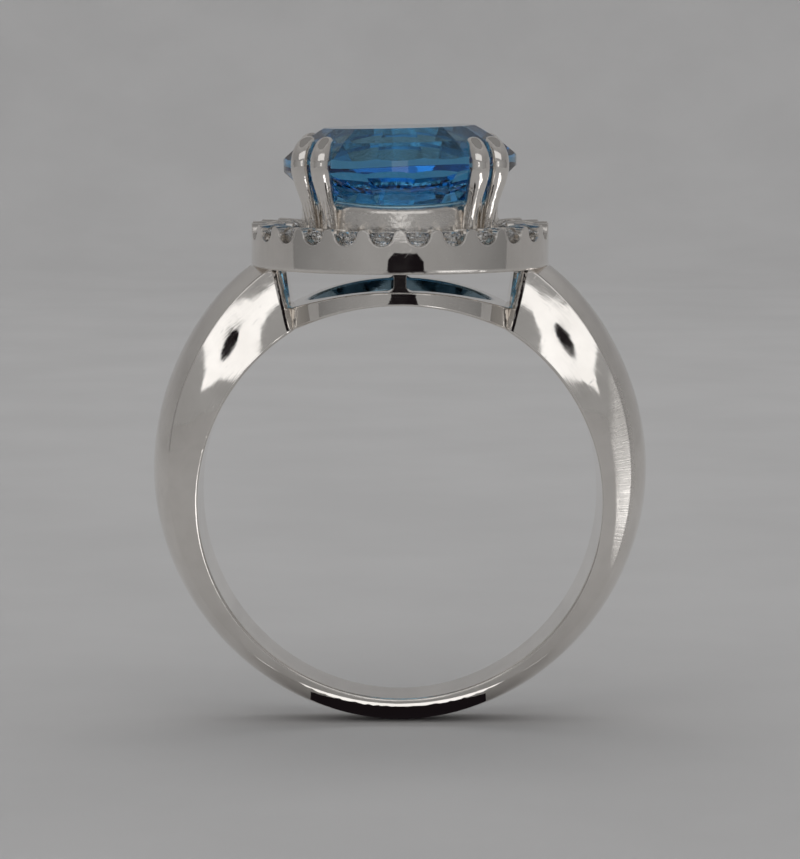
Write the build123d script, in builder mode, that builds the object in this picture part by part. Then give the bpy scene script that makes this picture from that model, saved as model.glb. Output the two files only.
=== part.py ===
"""A halo cocktail ring: one large round stone in a double-claw basket, set over a round halo
of small stones, on a polished D-section shank with open cathedral shoulders.

Millimetres. The origin is the centre of the finger hole, +Z points up to the stone and the
finger goes along Y.
"""
import os
from math import cos, pi, radians, sin, tan

from build123d import *

# Shank: one row for each station of its right half, as
# (angle up from the lowest point, half width, radius at the face's outer edge, crest radius)
bore_radius = 8.65
shank_rows = [
    (0.0, 1.30, 8.88, 9.77),
    (30.0, 1.50, 9.02, 9.80),
    (60.0, 1.98, 9.38, 10.02),
    (90.0, 2.36, 9.82, 10.58),
    (115.0, 2.42, 10.42, 11.14),
    (138.0, 2.16, 11.10, 11.76),
    (158.0, 1.72, 11.56, 11.88),
]
face_crown = 0.06
bore_allowance = 0.40
bore_edge_round = 0.12
crest_edge_round = 0.10

# Shoulder ends: half the gap between them, at the finger hole and under the halo
gap_low_z = 7.20
gap_low_half = 4.48
gap_high_half = 4.88
gap_bottom_z = 6.0
gap_top_z = 14.0
# What is cut from each end's corners, as (length in X, depth in Y, half width there)
end_corner_low = (0.08, 0.15, 2.24)
end_corner_high = (0.34, 0.60, 1.88)
corner_round = 0.50
corner_edge_lengths = (2.0, 4.0)
corner_edge_half_width = 1.70

# Gallery under the halo: round in plan, arched over the finger hole and let into the shoulders
gallery_outer_radius = 4.95
gallery_inner_radius = 3.90
gallery_top_z = 9.24
gallery_top_arc = 12.4
gallery_edge_round = 0.08
post_width = 0.52
post_flare_width = 0.96
post_flare_height = 1.10
window_half_length = 4.0
window_corner = 0.25

# Halo
halo_bottom_z = 10.05
halo_top_z = 11.90
halo_outer_radius = 6.39
halo_inner_radius = 4.95
halo_edge_round = 0.12
halo_stone_count = 26
halo_stone_diameter = 1.25
halo_pitch_radius = 5.66
halo_girdle_z = 11.60
halo_cut_width = 1.00
halo_cut_bottom_z = 11.22
halo_cut_reach = 1.2
halo_bearing_angle = 41.0
halo_light_hole_radius = 0.35

# Basket
base_ring_inner_radius = 3.70
base_ring_height = 0.50
seat_ring_outer_radius = 4.22
seat_ring_inner_radius = 2.95
seat_ring_foot_radius = 3.60
seat_ring_waist_z = 12.20
seat_ring_bottom_z = 11.35
seat_ring_top_z = 12.98
seat_ring_dip_z = 12.80
seat_ring_dip_radius = 20.0
seat_ring_round = 0.35

# Claws: four pairs. The centreline is (distance from the stone's axis, height), from the foot
# on the base ring to the tip over the stone, with the radius at shares of its length.
claw_pair_angle = 47.5
claw_half_spacing = 7.0
claw_line_points = [
    (4.48, 10.55),
    (4.48, 11.60),
    (4.60, 12.50),
    (4.88, 13.50),
    (5.08, 14.40),
    (4.98, 15.05),
    (4.52, 15.40),
]
claw_sections = [(0.0, 0.32), (0.25, 0.32), (0.5, 0.36), (0.75, 0.46), (0.9, 0.40), (1.0, 0.22)]
claw_tip_round = 0.10

# Centre stone: sixteen sides, with two rows of facets above the girdle and two below it.
# Heights are from the middle of the girdle, and radii are to the facets' corners.
stone_diameter = 10.0
stone_girdle_z = 14.48
stone_sides = 16
stone_girdle_half = 0.31
table_radius, table_z = 3.30, 1.52
crown_break_radius, crown_break_z = 4.25, 0.95
pavilion_break_radius, pavilion_break_z = 4.20, -1.06
culet_radius, culet_z = 0.10, -4.70
crown_turn = 11.25
pavilion_turn = 6.0
# It sits slightly askew in its claws, higher at +X
stone_tilt = 1.3

# How far a cutter runs past what it cuts
spare = 1.0


def polar(radius, angle, z):
    """The point at a radius and an angle in degrees about Z."""
    return Vector(radius * cos(radians(angle)), radius * sin(radians(angle)), z)


def facet(first, second, third):
    """A plane through three points, with its normal away from the stone's middle."""
    normal = (second - first).cross(third - first)
    if normal.dot(first) < 0:
        normal = -normal
    return Plane(origin=first, x_dir=second - first, z_dir=normal)


def brilliant(diameter, crown=0.127, girdle=0.036, table=0.66, pavilion_angle=41.0, culet_share=0.22):
    """A round brilliant of 57 facets, with the middle of its girdle at the origin.

    The crown height, girdle and table are shares of the diameter. The lower halves end at
    culet_share of the radius from the axis.
    """
    radius = diameter / 2
    girdle_top = diameter * girdle / 2
    girdle_low = -girdle_top
    table_z = girdle_top + diameter * crown
    culet_z = girdle_low - radius * tan(radians(pavilion_angle))
    table_radius = radius * table
    crown_slope = (table_z - girdle_top) / (radius - table_radius)
    half_step = 22.5
    star_radius = (table_radius * cos(radians(half_step)) + radius) / 2
    star_z = table_z - (star_radius * cos(radians(half_step)) - table_radius) * crown_slope
    lower_radius = radius * culet_share
    lower_z = culet_z + lower_radius * cos(radians(half_step)) * tan(radians(pavilion_angle))
    culet = Vector(0, 0, culet_z)
    with BuildPart() as stone:
        with BuildSketch(Plane.XY.offset(culet_z)):
            Circle(radius)
        extrude(amount=table_z - culet_z)
        for index in range(8):
            main = 45.0 * index
            beside = polar(1.0, main + 90, 0)
            crown_corner = polar(radius, main, girdle_top)
            pavilion_corner = polar(radius, main, girdle_low)
            table_corner = polar(table_radius, main, table_z)
            next_table_corner = polar(table_radius, main + 45, table_z)
            star_tip = polar(star_radius, main + half_step, star_z)
            split(bisect_by=facet(table_corner, crown_corner, crown_corner + beside), keep=Keep.BOTTOM)
            split(bisect_by=facet(table_corner, next_table_corner, star_tip), keep=Keep.BOTTOM)
            split(bisect_by=facet(culet, pavilion_corner, pavilion_corner + beside), keep=Keep.BOTTOM)
            for side in (-half_step, half_step):
                upper_half = facet(
                    polar(star_radius, main + side, star_z),
                    crown_corner,
                    polar(radius, main + side, girdle_top),
                )
                split(bisect_by=upper_half, keep=Keep.BOTTOM)
                lower_half = facet(
                    polar(lower_radius, main + side, lower_z),
                    pavilion_corner,
                    polar(radius, main + side, girdle_low),
                )
                split(bisect_by=lower_half, keep=Keep.BOTTOM)
    return stone.part


def sixteen_sided(levels, turn):
    """A solid of flat facets between regular polygons, given as (height, corner radius)."""
    with BuildPart() as form:
        for z, corner_radius in levels:
            with BuildSketch(Plane.XY.offset(z)):
                RegularPolygon(corner_radius, stone_sides, rotation=turn)
        loft(ruled=True)
    return form.part


def gap_half(z):
    """Half the gap between the two shoulders at a height."""
    slope = (gap_high_half - gap_low_half) / (halo_bottom_z - gap_low_z)
    return gap_low_half + slope * (z - gap_low_z)


def end_corner(z, cut, side_x, side_y):
    """The triangle that is cut from a corner of a shoulder's end, at a height."""
    length, depth, half_width = cut
    start = Vector(gap_half(z) + length, half_width)
    end = Vector(gap_half(z), half_width - depth)
    reach = (start - end).normalized() * spare
    points = (start + reach, end - reach, Vector(gap_half(z) - spare, half_width + spare))
    return [(side_x * point.X, side_y * point.Y) for point in points]


def is_corner_edge(edge):
    """True for the upright edges between the faces and the cut corners of the shoulder ends."""
    centre = edge.center()
    shortest, longest = corner_edge_lengths
    is_upright = shortest < edge.length < longest and gap_low_z < centre.Z < gallery_top_z
    return is_upright and abs(centre.Y) > corner_edge_half_width


def save(piece, name):
    """Label a finished piece and write it."""
    piece.label = name
    export_step(piece, f"parts/{name}.step")


os.makedirs("parts", exist_ok=True)

# Gallery: a round rail under the halo, flush with the finger hole
with BuildPart() as gallery_ring:
    with BuildSketch(Plane.XZ):
        with Locations((0, gallery_top_z - gallery_top_arc)):
            Circle(gallery_top_arc)
        Circle(bore_radius, mode=Mode.SUBTRACT)
        with Locations((0, bore_radius)):
            Rectangle(2 * halo_outer_radius, bore_radius, mode=Mode.INTERSECT)
    extrude(amount=halo_outer_radius, both=True)
    with BuildSketch(Plane.XY):
        Circle(gallery_outer_radius)
        Circle(gallery_inner_radius, mode=Mode.SUBTRACT)
    extrude(amount=halo_bottom_z, mode=Mode.INTERSECT)
    fillet(gallery_ring.edges(), gallery_edge_round)

save(gallery_ring.part, "gallery_ring")

# Shank: D sections lofted round the finger from one shoulder to the other
with BuildPart() as shank:
    rows = [(-angle, *rest) for angle, *rest in reversed(shank_rows[1:])] + shank_rows
    inner = bore_radius - bore_allowance
    for angle, half_width, face_radius, crest_radius in rows:
        outward = Vector(sin(radians(angle)), 0, -cos(radians(angle)))
        along = Vector(cos(radians(angle)), 0, sin(radians(angle)))
        middle = (inner + face_radius) / 2
        with BuildSketch(Plane(origin=(0, 0, 0), x_dir=outward, z_dir=along)) as section:
            with BuildLine():
                Line((inner, half_width), (inner, -half_width))
                ThreePointArc(
                    (inner, -half_width),
                    (middle, -half_width - face_crown),
                    (face_radius, -half_width),
                )
                ThreePointArc(
                    (face_radius, -half_width),
                    (crest_radius, 0),
                    (face_radius, half_width),
                )
                ThreePointArc(
                    (face_radius, half_width),
                    (middle, half_width + face_crown),
                    (inner, half_width),
                )
            make_face()
            fillet(section.vertices().group_by(Axis.X)[-1], crest_edge_round)
    loft()
    # The finger hole, then the gap under the halo
    with BuildSketch(Plane.XZ):
        Circle(bore_radius)
    extrude(amount=halo_outer_radius, both=True, mode=Mode.SUBTRACT)
    with BuildSketch(Plane.XZ):
        with BuildLine():
            Polyline(
                (-gap_half(gap_bottom_z), gap_bottom_z),
                (gap_half(gap_bottom_z), gap_bottom_z),
                (gap_half(gap_top_z), gap_top_z),
                (-gap_half(gap_top_z), gap_top_z),
                close=True,
            )
        make_face()
    extrude(amount=halo_outer_radius, both=True, mode=Mode.SUBTRACT)
    split(bisect_by=Plane.XY.offset(halo_bottom_z), keep=Keep.BOTTOM)
    # Each end corner is cut back, more under the halo than at the finger hole
    for side_x in (-1, 1):
        for side_y in (-1, 1):
            for z, cut in ((gap_bottom_z, end_corner_low), (halo_bottom_z, end_corner_high)):
                with BuildSketch(Plane.XY.offset(z)):
                    with BuildLine():
                        Polyline(*end_corner(z, cut, side_x, side_y), close=True)
                    make_face()
            loft(ruled=True, mode=Mode.SUBTRACT)
    fillet(shank.edges().filter_by(is_corner_edge), corner_round)
    # Of the edges that run right round the finger, the two at the hole are the shortest
    round_edges = shank.edges().filter_by(lambda edge: edge.length > 4 * bore_radius)
    fillet(round_edges.sort_by(SortBy.LENGTH)[:2], bore_edge_round)
    add(gallery_ring.part, mode=Mode.SUBTRACT)

save(shank.part, "shank")

# Gallery posts: the upright at the front and at the rear, between two rounded windows
gallery_middle = (gallery_outer_radius + gallery_inner_radius) / 2
gallery_width = gallery_outer_radius - gallery_inner_radius
window_offset = post_width / 2 + window_half_length
window_height = halo_bottom_z - gallery_top_z
window_middle_z = (halo_bottom_z + gallery_top_z) / 2
for name, side in (("gallery_post_front", -1), ("gallery_post_rear", 1)):
    with BuildPart() as gallery_post:
        with BuildSketch(Plane.XZ.offset(-side * gallery_middle)):
            with Locations((0, halo_bottom_z - post_flare_height / 2)):
                Rectangle(post_flare_width, post_flare_height)
            with Locations((-window_offset, window_middle_z), (window_offset, window_middle_z)):
                RectangleRounded(
                    2 * window_half_length, window_height, window_corner, mode=Mode.SUBTRACT
                )
        extrude(amount=gallery_width / 2, both=True)
        with BuildSketch(Plane.XY):
            Circle(gallery_outer_radius)
            Circle(gallery_inner_radius, mode=Mode.SUBTRACT)
        extrude(amount=halo_bottom_z, mode=Mode.INTERSECT)
        add(gallery_ring.part, mode=Mode.SUBTRACT)
    save(gallery_post.part, name)

# Halo frame: a plain wall with a U cut at each small stone, and a bearing with a light hole
halo_pitch = 360 / halo_stone_count
halo_stone_radius = halo_stone_diameter / 2
halo_start_angle = -90 + halo_pitch / 2
fin_half = (2 * pi * halo_outer_radius / halo_stone_count - halo_cut_width) / 2
fin_shoulder_z = halo_top_z - fin_half
cut_half = halo_cut_width / 2
cut_top_z = halo_top_z + spare
cut_centre_z = halo_cut_bottom_z + cut_half
bearing_depth = (halo_stone_radius - halo_light_hole_radius) * tan(radians(halo_bearing_angle))

# What each small stone takes out of the halo: its bearing, its light hole and its U cut
with BuildPart() as stone_cutter:
    with BuildSketch(Plane.XZ):
        with BuildLine():
            Polyline(
                (0, halo_bottom_z - spare),
                (halo_light_hole_radius, halo_bottom_z - spare),
                (halo_light_hole_radius, halo_girdle_z - bearing_depth),
                (halo_stone_radius, halo_girdle_z),
                (halo_stone_radius, cut_top_z),
                (0, cut_top_z),
                close=True,
            )
        make_face()
    revolve(axis=Axis.Z)
    with BuildSketch(Plane.YZ.offset(-halo_cut_reach)):
        with Locations((0, cut_centre_z)):
            Circle(cut_half)
        with Locations((0, (cut_centre_z + cut_top_z) / 2)):
            Rectangle(halo_cut_width, cut_top_z - cut_centre_z)
        with Locations((0, (fin_shoulder_z + cut_top_z) / 2)):
            Rectangle(halo_cut_width + 2 * fin_half, cut_top_z - fin_shoulder_z)
        with Locations((-cut_half - fin_half, fin_shoulder_z), (cut_half + fin_half, fin_shoulder_z)):
            Circle(fin_half, mode=Mode.SUBTRACT)
    extrude(amount=2 * halo_cut_reach)

with BuildPart() as halo_frame:
    with BuildSketch(Plane.XY.offset(halo_bottom_z)):
        Circle(halo_outer_radius)
        Circle(halo_inner_radius, mode=Mode.SUBTRACT)
    extrude(amount=halo_top_z - halo_bottom_z)
    lower_edges = halo_frame.edges().group_by(Axis.Z)[0]
    fillet(lower_edges.sort_by(SortBy.RADIUS)[-1], halo_edge_round)
    with PolarLocations(halo_pitch_radius, halo_stone_count, start_angle=halo_start_angle):
        add(stone_cutter.part, mode=Mode.SUBTRACT)

save(halo_frame.part, "halo_frame")

# Halo stones
small_brilliant = brilliant(halo_stone_diameter)
for index in range(halo_stone_count):
    angle = halo_start_angle + halo_pitch * index
    with BuildPart() as halo_stone:
        with Locations(Location(polar(halo_pitch_radius, angle, halo_girdle_z), (0, 0, angle))):
            add(small_brilliant)
    save(halo_stone.part, f"halo_stone_{index + 1:02d}")

# Centre stone: a round girdle between a faceted crown and a faceted pavilion
stone_radius = stone_diameter / 2
wide_radius = stone_radius + spare
crown_slope = (crown_break_z - stone_girdle_half) / (stone_radius - crown_break_radius)
pavilion_slope = (-stone_girdle_half - pavilion_break_z) / (stone_radius - pavilion_break_radius)
crown = sixteen_sided(
    [
        (culet_z, wide_radius),
        (stone_girdle_half - spare * crown_slope, wide_radius),
        (crown_break_z, crown_break_radius),
        (table_z, table_radius),
    ],
    crown_turn,
)
pavilion = sixteen_sided(
    [
        (culet_z, culet_radius),
        (pavilion_break_z, pavilion_break_radius),
        (spare * pavilion_slope - stone_girdle_half, wide_radius),
        (table_z, wide_radius),
    ],
    pavilion_turn,
)
with BuildPart() as stone_blank:
    with BuildSketch(Plane.XY.offset(culet_z)):
        Circle(stone_radius)
    extrude(amount=table_z - culet_z)
    add(crown, mode=Mode.INTERSECT)
    add(pavilion, mode=Mode.INTERSECT)

with BuildPart() as centre_stone:
    with Locations(Location((0, 0, stone_girdle_z), (0, -stone_tilt, 0))):
        add(stone_blank.part)

save(centre_stone.part, "centre_stone")

# Basket: a base ring inside the halo, and eight claws that stand on it
with BuildPart() as base_ring:
    with BuildSketch(Plane.XY.offset(halo_bottom_z)):
        Circle(halo_inner_radius)
        Circle(base_ring_inner_radius, mode=Mode.SUBTRACT)
    extrude(amount=base_ring_height)

save(base_ring.part, "basket_base_ring")

# One claw in the plane Y = 0, before it is notched for the stone
with BuildPart() as claw_blank:
    with BuildLine() as claw_line:
        Spline(
            *[(offset, 0, z) for offset, z in claw_line_points],
            tangents=((0, 0, 1), (-1, 0, -0.1)),
        )
    for share, radius in claw_sections:
        with BuildSketch(claw_line.line ^ share):
            Circle(radius)
    sweep(multisection=True)
    fillet(claw_blank.edges().sort_by(Axis.Z)[-1], claw_tip_round)

pair_angles = [side - 90 for side in (-claw_pair_angle, claw_pair_angle)]
pair_angles += [angle + 180 for angle in pair_angles]
claw_angles = [pair + side * claw_half_spacing for pair in pair_angles for side in (-1, 1)]
claw_places = [Location((0, 0, 0), (0, 0, angle)) for angle in claw_angles]
for index, place in enumerate(claw_places, start=1):
    with BuildPart() as claw:
        with Locations(place):
            add(claw_blank.part)
        add(centre_stone.part, mode=Mode.SUBTRACT)
    save(claw.part, f"claw_{index}")

# The seat ring that the big stone rests on, let into the claws
with BuildPart() as seat_ring:
    with BuildSketch(Plane.XZ):
        with BuildLine():
            Polyline(
                (seat_ring_foot_radius, seat_ring_bottom_z),
                (seat_ring_outer_radius, seat_ring_bottom_z),
                (seat_ring_outer_radius, seat_ring_top_z),
                (seat_ring_inner_radius, seat_ring_top_z),
                (seat_ring_inner_radius, seat_ring_waist_z),
                close=True,
            )
        make_face()
    revolve(axis=Axis.Z)
    # Its top dips between the pairs of claws
    for plane in (Plane.XZ, Plane.YZ):
        with BuildSketch(plane):
            with Locations((0, seat_ring_dip_z + seat_ring_dip_radius)):
                Circle(seat_ring_dip_radius)
        extrude(amount=seat_ring_outer_radius + spare, both=True, mode=Mode.SUBTRACT)
    outer_wall = seat_ring.faces().filter_by(GeomType.CYLINDER).sort_by(SortBy.AREA)[-1]
    outer_top = outer_wall.edges().filter_by(lambda edge: edge.center().Z > seat_ring_waist_z)
    fillet(outer_top, seat_ring_round)
    add(centre_stone.part, mode=Mode.SUBTRACT)
    with Locations(*claw_places):
        add(claw_blank.part, mode=Mode.SUBTRACT)

save(seat_ring.part, "basket_seat_ring")
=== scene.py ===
from math import cos, pi, radians, sin

import bpy
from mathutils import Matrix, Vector


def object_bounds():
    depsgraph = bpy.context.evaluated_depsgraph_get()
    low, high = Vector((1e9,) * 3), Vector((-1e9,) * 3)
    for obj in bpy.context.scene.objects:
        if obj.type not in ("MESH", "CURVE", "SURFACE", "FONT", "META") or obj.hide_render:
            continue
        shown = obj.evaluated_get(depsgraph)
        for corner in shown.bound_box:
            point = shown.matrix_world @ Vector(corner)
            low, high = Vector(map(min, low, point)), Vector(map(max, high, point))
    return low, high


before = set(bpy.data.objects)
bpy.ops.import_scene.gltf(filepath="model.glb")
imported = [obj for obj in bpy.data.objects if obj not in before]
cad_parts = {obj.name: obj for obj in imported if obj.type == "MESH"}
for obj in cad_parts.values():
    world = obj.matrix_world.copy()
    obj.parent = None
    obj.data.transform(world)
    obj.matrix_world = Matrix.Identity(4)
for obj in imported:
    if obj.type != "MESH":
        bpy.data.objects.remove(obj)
cad_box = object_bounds()
floor_z = cad_box[0].z
mm = 0.001

# Camera: in front of the finger hole and slightly above the ring
CAMERA_PLACE = Vector((0.0, -149.0, 19.9)) * mm
CAMERA_TARGET = Vector((0.0, 0.0, 2.92)) * mm
LENS = 145.2

# Backdrop: a round floor that bends up into a wall, in metres
FLOOR_RADIUS = 0.27
BEND_RADIUS = 0.10
BEND_STEPS = 12
WALL_HEIGHT = 0.42
BACKDROP_SEGMENTS = 96
WORLD_STRENGTH = 0.22
CEILING_ENERGY = 1.12
WALL_WASH_ENERGY = 0.10

# Colours and stones
GOLD = ((0.79, 0.755, 0.715), (0.86, 0.825, 0.785))
# Painted reflection: a teal put into the gallery's colour to stand for the blue stone mirrored in it,
# not the metal's own colour
STONE_REFLECTION_TEAL = ((0.07, 0.15, 0.20), (0.25, 0.33, 0.38))
PAPER = ((0.562, 0.558, 0.558), (0.588, 0.584, 0.584))
BLUE_SURFACE = ((0.90, 0.97, 1.0), (0.97, 0.99, 1.0))
BLUE_INSIDE = (0.03, 0.60, 0.825)
BLUE_DENSITY = 245.0
BLUE_IOR = 1.62
CLEAR_SURFACE = ((0.78, 0.79, 0.80), (0.93, 0.93, 0.93))
CLEAR_IOR = 2.15
GEM_WEAR = 0.0006
LENS_BLACK = (0.02, 0.015, 0.018)
WHITE = (1.0, 1.0, 1.0)


# ---------- node helpers ----------

def new_material(name):
    """A material with an empty node tree."""
    material = bpy.data.materials.new(name)
    material.use_nodes = True
    material.node_tree.nodes.clear()
    return material


def add_node(tree, kind, **values):
    """A node of a kind, with its properties or its sockets set by name."""
    node = tree.nodes.new(kind)
    for key, value in values.items():
        if hasattr(node, key):
            setattr(node, key, value)
        else:
            node.inputs[key.replace("_", " ")].default_value = value
    return node


def coordinates_mm(tree):
    """The object's own coordinates, in millimetres of the row frame."""
    source = add_node(tree, "ShaderNodeTexCoord")
    scaled = add_node(tree, "ShaderNodeVectorMath", operation="SCALE")
    scaled.inputs["Scale"].default_value = 1 / mm
    tree.links.new(source.outputs["Object"], scaled.inputs[0])
    return scaled.outputs[0]


def noise(tree, vector, scale, detail=3.0, stretch=None):
    """A noise value over a vector, stretched by a scale in each direction if one is given."""
    if stretch is not None:
        mapping = add_node(tree, "ShaderNodeMapping")
        mapping.inputs["Scale"].default_value = stretch
        tree.links.new(vector, mapping.inputs["Vector"])
        vector = mapping.outputs[0]
    texture = add_node(tree, "ShaderNodeTexNoise", Scale=scale, Detail=detail)
    tree.links.new(vector, texture.inputs["Vector"])
    return texture.outputs[0]


def remap(tree, value, low, high, to_low, to_high):
    """A value mapped from one range to another and clamped."""
    node = add_node(tree, "ShaderNodeMapRange")
    node.inputs["From Min"].default_value = low
    node.inputs["From Max"].default_value = high
    node.inputs["To Min"].default_value = to_low
    node.inputs["To Max"].default_value = to_high
    tree.links.new(value, node.inputs["Value"])
    return node.outputs["Result"]


def mix_colour(tree, factor, first, second):
    """A colour between two by a factor. Each is three numbers or a socket."""
    node = add_node(tree, "ShaderNodeMix", data_type="RGBA")
    ends = {"A_Color": first, "B_Color": second}
    for socket in node.inputs:
        colour = ends.get(socket.identifier)
        if isinstance(colour, tuple):
            socket.default_value = (*colour, 1)
        elif colour is not None:
            tree.links.new(colour, socket)
    tree.links.new(factor, node.inputs["Factor"])
    return [s for s in node.outputs if s.identifier == "Result_Color"][0]


def math_node(tree, operation, *values):
    """The result of one sum on sockets or numbers."""
    node = add_node(tree, "ShaderNodeMath", operation=operation)
    for index, value in enumerate(values):
        if isinstance(value, (int, float)):
            node.inputs[index].default_value = value
        else:
            tree.links.new(value, node.inputs[index])
    return node.outputs[0]


def separate(tree, vector):
    """The X, Y and Z of a vector."""
    node = add_node(tree, "ShaderNodeSeparateXYZ")
    tree.links.new(vector, node.inputs[0])
    return node.outputs[0], node.outputs[1], node.outputs[2]


def around(tree, place, axis):
    """Coordinates round an axis, "Y" or "Z": arc, radius and height in millimetres; and the radius."""
    x, y, z = separate(tree, place)
    up, along = (z, y) if axis == "Y" else (y, z)
    turn = math_node(tree, "ARCTAN2", x, up)
    radius = math_node(tree, "SQRT", math_node(
        tree, "ADD", math_node(tree, "MULTIPLY", x, x), math_node(tree, "MULTIPLY", up, up)))
    joined = add_node(tree, "ShaderNodeCombineXYZ")
    tree.links.new(math_node(tree, "MULTIPLY", turn, 9.0), joined.inputs[0])
    tree.links.new(radius, joined.inputs[1])
    tree.links.new(along, joined.inputs[2])
    return joined.outputs[0], radius


def bump(tree, height, depth, before=None):
    """A normal that follows a height, whose full range is a depth in millimetres."""
    node = add_node(tree, "ShaderNodeBump", Strength=1.0)
    node.inputs["Distance"].default_value = depth * mm
    tree.links.new(height, node.inputs["Height"])
    if before is not None:
        tree.links.new(before, node.inputs["Normal"])
    return node.outputs[0]


def soft_edge(tree, edge_radius):
    """A normal that rounds the sharp edges slightly, as polishing does."""
    node = add_node(tree, "ShaderNodeBevel", samples=4)
    node.inputs["Radius"].default_value = edge_radius * mm
    return node.outputs[0]


# ---------- materials ----------

def white_gold(name, axis, polish, wave, lines, grain=0.0, satin=False, paint_stone_reflection=False, edge=0.04):
    """White gold: colour drift, uneven polish, hand-polished waves, fine lines round an axis,
    hairline scratches and softened edges. polish is the roughness range. wave, lines, grain and
    edge are in millimetres. satin brushes a stretch of the shank's right side. The other flag paints
    a teal reflection of the blue stone into the colour of what lies close to the head's axis."""
    material = new_material(name)
    tree = material.node_tree
    output = add_node(tree, "ShaderNodeOutputMaterial")
    shader = add_node(tree, "ShaderNodeBsdfPrincipled", Metallic=1.0)
    place = coordinates_mm(tree)
    round_place, radius = around(tree, place, axis)

    drift = remap(tree, noise(tree, place, 0.55, 4.0), 0.35, 0.65, 0.0, 1.0)
    colour = mix_colour(tree, drift, *GOLD)
    # Painted reflection: close to the head's axis the colour turns teal, as if the blue stone were
    # mirrored there
    if paint_stone_reflection:
        stone_reflection_mask = remap(tree, around(tree, place, "Z")[1], 4.15, 3.95, 0.0, 1.0)
        painted_reflection = mix_colour(tree, noise(tree, place, 1.6), *STONE_REFLECTION_TEAL)
        colour = mix_colour(tree, stone_reflection_mask, colour, painted_reflection)
    tree.links.new(colour, shader.inputs["Base Color"])

    fine_lines = noise(tree, round_place, 1.0, 5.0, stretch=(0.25, 16.0, 16.0))
    cloudy = noise(tree, place, 1.3, 5.0)
    roughness = math_node(tree, "ADD", remap(tree, cloudy, 0.35, 0.7, *polish),
                          remap(tree, fine_lines, 0.45, 0.75, 0.0, 0.04))
    normal = bump(tree, noise(tree, place, 0.45, 2.0), wave, soft_edge(tree, edge))
    normal = bump(tree, fine_lines, lines, normal)
    tilted = add_node(tree, "ShaderNodeMapping")
    tilted.inputs["Rotation"].default_value = (0.4, 0.9, 0.3)
    tree.links.new(place, tilted.inputs["Vector"])
    hairs = noise(tree, tilted.outputs[0], 1.0, 2.0, stretch=(0.5, 18.0, 18.0))
    normal = bump(tree, remap(tree, hairs, 0.72, 0.77, 0.0, 1.0), -0.0005, normal)
    if grain:
        normal = bump(tree, noise(tree, place, 3.5, 6.0), grain, normal)
    if satin:
        x, y, _ = separate(tree, place)
        rim = math_node(tree, "MULTIPLY", remap(tree, radius, 9.15, 9.40, 0.0, 1.0),
                        remap(tree, y, -2.0, -2.25, 0.0, 1.0))
        brushed = math_node(tree, "MULTIPLY", rim, remap(tree, x, 8.8, 9.2, 0.0, 1.0))
        streaks = noise(tree, round_place, 1.0, 4.0, stretch=(22.0, 0.8, 3.0))
        rough_streaks = math_node(tree, "MULTIPLY", brushed,
                                  remap(tree, streaks, 0.3, 0.7, 0.16, 0.34))
        roughness = math_node(tree, "ADD", roughness, rough_streaks)
        normal = bump(tree, math_node(tree, "MULTIPLY", brushed, streaks), 0.006, normal)
    tree.links.new(roughness, shader.inputs["Roughness"])
    tree.links.new(normal, shader.inputs["Normal"])
    tree.links.new(shader.outputs[0], output.inputs["Surface"])
    return material


def gem(name, colours, ior, absorption=None, density=0.0):
    """A transparent cut stone: zoning and uneven polish on its surface, absorption inside."""
    material = new_material(name)
    tree = material.node_tree
    output = add_node(tree, "ShaderNodeOutputMaterial")
    shader = add_node(tree, "ShaderNodeBsdfPrincipled", IOR=ior)
    shader.inputs["Transmission Weight"].default_value = 1.0
    place = coordinates_mm(tree)
    zoning = remap(tree, noise(tree, place, 0.5), 0.35, 0.65, 0.0, 1.0)
    tree.links.new(mix_colour(tree, zoning, *colours), shader.inputs["Base Color"])
    smears = noise(tree, place, 2.2, 4.0)
    tree.links.new(remap(tree, smears, 0.5, 0.8, 0.0, 0.05), shader.inputs["Roughness"])
    tree.links.new(bump(tree, noise(tree, place, 3.0), GEM_WEAR), shader.inputs["Normal"])
    tree.links.new(shader.outputs[0], output.inputs["Surface"])
    if absorption is not None:
        volume = add_node(tree, "ShaderNodeVolumeAbsorption", Density=density)
        volume.inputs["Color"].default_value = (*absorption, 1)
        tree.links.new(volume.outputs[0], output.inputs["Volume"])
    return material


def paper(name, colours):
    """Matt paper with a faint cloudy mottle, and no gloss that could mirror the cards."""
    material = new_material(name)
    tree = material.node_tree
    output = add_node(tree, "ShaderNodeOutputMaterial")
    shader = add_node(tree, "ShaderNodeBsdfPrincipled", Roughness=0.95)
    shader.inputs["Specular IOR Level"].default_value = 0.0
    clouds = remap(tree, noise(tree, coordinates_mm(tree), 0.08, 5.0), 0.35, 0.65, 0.0, 1.0)
    tree.links.new(mix_colour(tree, clouds, *colours), shader.inputs["Base Color"])
    tree.links.new(shader.outputs[0], output.inputs["Surface"])
    return material


def glow(name, colour, strength):
    """A plain emitter for a studio card."""
    material = new_material(name)
    tree = material.node_tree
    output = add_node(tree, "ShaderNodeOutputMaterial")
    shader = add_node(tree, "ShaderNodeEmission", Strength=strength)
    shader.inputs["Color"].default_value = (*colour, 1)
    tree.links.new(shader.outputs[0], output.inputs["Surface"])
    return material


def side_fading_glow(name, front, side):
    """An emitter whose strength falls from its front value to its side value round the ring."""
    material = new_material(name)
    tree = material.node_tree
    output = add_node(tree, "ShaderNodeOutputMaterial")
    shader = add_node(tree, "ShaderNodeEmission")
    x, y, _ = separate(tree, coordinates_mm(tree))
    sideways = math_node(tree, "ABSOLUTE", x)
    forward = math_node(tree, "MULTIPLY", y, -1.0)
    turn = math_node(tree, "ARCTAN2", sideways, forward)
    tree.links.new(remap(tree, turn, 0.45, 1.5, front, side), shader.inputs["Strength"])
    tree.links.new(shader.outputs[0], output.inputs["Surface"])
    return material


def give(prefix, material):
    """Puts a material on the CAD nodes whose names start with a prefix."""
    for name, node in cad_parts.items():
        if name.startswith(prefix):
            node.data.materials.clear()
            node.data.materials.append(material)


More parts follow.
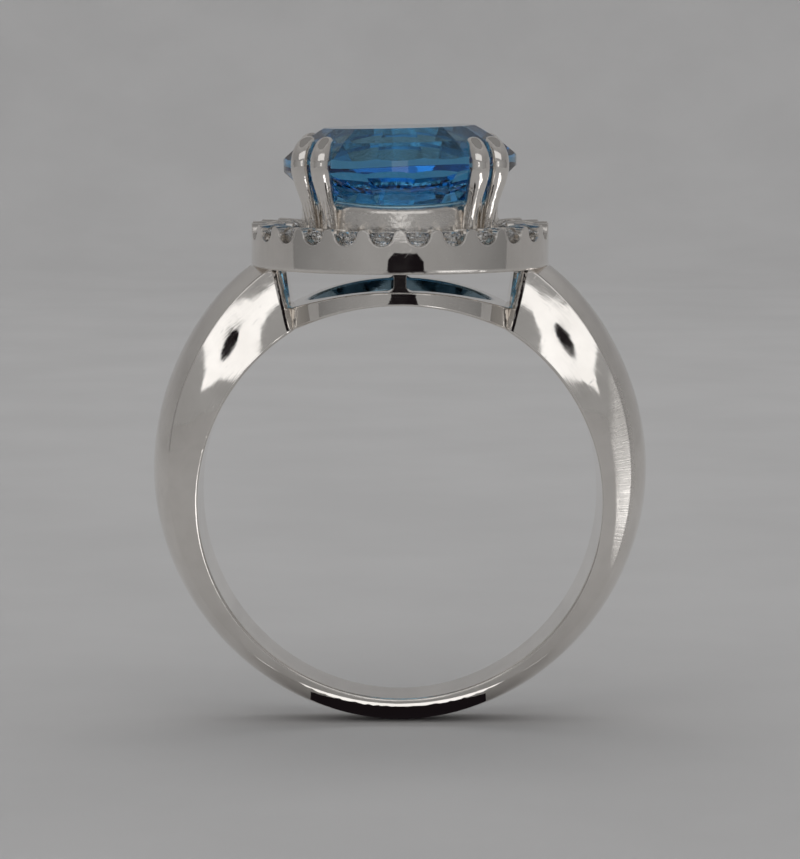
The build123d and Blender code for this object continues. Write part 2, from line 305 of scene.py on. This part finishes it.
give("shank", white_gold("shank_gold", "Y", (0.02, 0.06), 0.008, 0.0004, satin=True))
# The gallery carries a painted teal reflection of the centre stone on its faces close to the head's
# axis
give("gallery", white_gold("gallery_gold", "Y", (0.03, 0.07), 0.006, 0.0004, paint_stone_reflection=True))
give("halo_frame", white_gold("halo_gold", "Z", (0.02, 0.06), 0.008, 0.0004, edge=0.12))
give("basket", white_gold("basket_gold", "Z", (0.08, 0.22), 0.014, 0.001, grain=0.022))
give("claw", white_gold("claw_gold", "Z", (0.03, 0.08), 0.006, 0.0004, grain=0.002))
give("centre_stone", gem("blue_stone", BLUE_SURFACE, BLUE_IOR, BLUE_INSIDE, BLUE_DENSITY))
give("halo_stone", gem("clear_stone", CLEAR_SURFACE, CLEAR_IOR))


# ---------- stage ----------

def link(name, data):
    """A new object that shows some data."""
    item = bpy.data.objects.new(name, data)
    bpy.context.scene.collection.objects.link(item)
    return item


def aim(item, place, target, axis):
    """Puts an object at a place and turns one of its axes towards a target."""
    item.location = place
    item.rotation_euler = (Vector(target) - Vector(place)).to_track_quat(axis, "Y").to_euler()


def bowl():
    """A round floor that curves up into a wall on every side, with the ring standing in it."""
    profile = [(0.0, floor_z), (FLOOR_RADIUS / 2, floor_z), (FLOOR_RADIUS, floor_z)]
    for step in range(1, BEND_STEPS + 1):
        angle = radians(90 * step / BEND_STEPS)
        rise = BEND_RADIUS * (1 - cos(angle))
        profile.append((FLOOR_RADIUS + BEND_RADIUS * sin(angle), floor_z + rise))
    profile.append((FLOOR_RADIUS + BEND_RADIUS, floor_z + WALL_HEIGHT))
    count = BACKDROP_SEGMENTS
    points = []
    faces = []
    for radius, z in profile:
        for index in range(count):
            angle = 2 * pi * index / count
            points.append((radius * cos(angle), radius * sin(angle), z))
    for row in range(len(profile) - 1):
        for index in range(count):
            first = row * count + index
            second = row * count + (index + 1) % count
            faces.append((first, second, second + count, first + count))
    mesh = bpy.data.meshes.new("backdrop")
    mesh.from_pydata(points, [], faces)
    mesh.polygons.foreach_set("use_smooth", [True] * len(faces))
    mesh.materials.append(paper("pale_paper", PAPER))
    link("backdrop", mesh)


def reflected_only(name, points, faces, material):
    """A stage mesh that shows in what metal and stones mirror, and nowhere else."""
    mesh = bpy.data.meshes.new(name)
    mesh.from_pydata(points, [], faces)
    mesh.materials.append(material)
    item = link(name, mesh)
    item.visible_camera = False
    item.visible_shadow = False
    item.visible_diffuse = False
    return item


def card(name, outline, place, target, material):
    """A flat card with an outline in its own plane, in metres, facing a target."""
    points = [(x, y, 0) for x, y in outline]
    item = reflected_only(name, points, [tuple(range(len(points)))], material)
    aim(item, place, target, "Z")


def floor_card(name, outline, x, y, lift, material):
    """A card that lies face up, a lift above the floor. Its outline's Y runs towards the camera."""
    card(name, outline, (x, y, floor_z + lift), (x, y, 1), material)


def band(name, radius, base, top, half_turn, material):
    """A curved band that stands round the front of the ring, as far as a half turn to each side."""
    steps = 40
    points = []
    for step in range(steps + 1):
        angle = radians(-half_turn + 2 * half_turn * step / steps)
        points.append((radius * sin(angle), -radius * cos(angle), base))
        points.append((radius * sin(angle), -radius * cos(angle), top))
    faces = [(first, first + 1, first + 3, first + 2) for first in range(0, 2 * steps, 2)]
    reflected_only(name, points, faces, material)


def oval(width, height):
    """The outline of an oval."""
    count = 48
    angles = [2 * pi * index / count for index in range(count)]
    return [(width / 2 * cos(angle), height / 2 * sin(angle)) for angle in angles]


def rectangle(width, height):
    """The outline of a rectangle."""
    x = width / 2
    y = height / 2
    return [(-x, -y), (x, -y), (x, y), (-x, y)]


def area_light(name, place, target, size, energy):
    """A soft rectangular light that metal doesn't mirror."""
    light = bpy.data.lights.new(name, "AREA")
    light.shape = "RECTANGLE"
    light.size, light.size_y = size
    light.energy = energy
    item = link(name, light)
    item.visible_glossy = False
    aim(item, place, target, "-Z")


bowl()
# What the polished metal mirrors. In front: grey surroundings, a white reflector with the dark
# lens in it, a soft box above them, and the dark hood close to the ring. On the floor: a dark
# slip under the ring, a white line beside it and a white slip to the right.
black = glow("black_card", LENS_BLACK, 0.4)
white = glow("white_card", WHITE, 1.15)
hood = [
    (-1.6, 7.3), (2.3, 7.3), (2.2, 8.2), (1.8, 8.7), (1.8, 9.6), (2.3, 9.75), (1.9, 9.9), (1.85, 10.4),
    (1.3, 10.75), (-0.4, 10.8), (-0.9, 10.5), (-1.0, 9.9), (-1.3, 9.75), (-1.0, 9.6), (-1.0, 8.7),
    (-1.5, 8.2),
]
under_slip = [(-4.0, -1.6), (4.2, -1.6), (4.3, 0.2), (2.8, 0.55), (-2.8, 0.55), (-4.1, 0.2)]
card("reflector", rectangle(0.042, 0.026), (0.0, -0.155, 0.0165), (0, 0, 0.0165), white)
card("lens", oval(0.014, 0.013), (-0.002, -0.1545, 0.0180), (-0.002, 0, 0.0180), black)
card("hood", [(-x * mm, z * mm) for x, z in hood], (0.0, -0.009, 0.0), (0, 0, 0.0), black)
floor_card("under_slip", [(x * mm, y * mm) for x, y in under_slip], 0.0, -0.0010, 0.00002, black)
card("soft_box", rectangle(0.20, 0.055), (0.0, -0.150, 0.073), (0, 0, 0.0145),
     glow("soft_white", WHITE, 0.78))
band("front_band", 0.20, floor_z, 0.042, 88, side_fading_glow("front_band", 0.32, 0.20))
floor_card("edge_slip", rectangle(0.017, 0.0003), 0.0, -0.0017, 0.00003, white)
floor_card("side_slip", rectangle(0.020, 0.036), 0.026, -0.043, 0.0002, glow("side_white", WHITE, 1.9))
area_light("ceiling", (0.0, 0.0, 0.42), (0, 0, 0), (0.70, 0.70), CEILING_ENERGY)
area_light("wall_wash", (0.0, 0.12, 0.30), (0, 0.37, 0.0), (0.40, 0.10), WALL_WASH_ENERGY)

world = bpy.data.worlds.new("studio")
bpy.context.scene.world = world
world.use_nodes = True
world.node_tree.nodes["Background"].inputs["Color"].default_value = (*WHITE, 1)
world.node_tree.nodes["Background"].inputs["Strength"].default_value = WORLD_STRENGTH

# ---------- camera ----------
camera_data = bpy.data.cameras.new("camera")
camera_data.lens = LENS
camera_data.clip_start = 0.005
camera_data.clip_end = 5.0
camera = link("camera", camera_data)
aim(camera, CAMERA_PLACE, CAMERA_TARGET, "-Z")
bpy.context.scene.camera = camera

settings = bpy.context.scene
settings.view_settings.view_transform = "Standard"
settings.cycles.max_bounces = 24
settings.cycles.transmission_bounces = 20
settings.cycles.glossy_bounces = 8
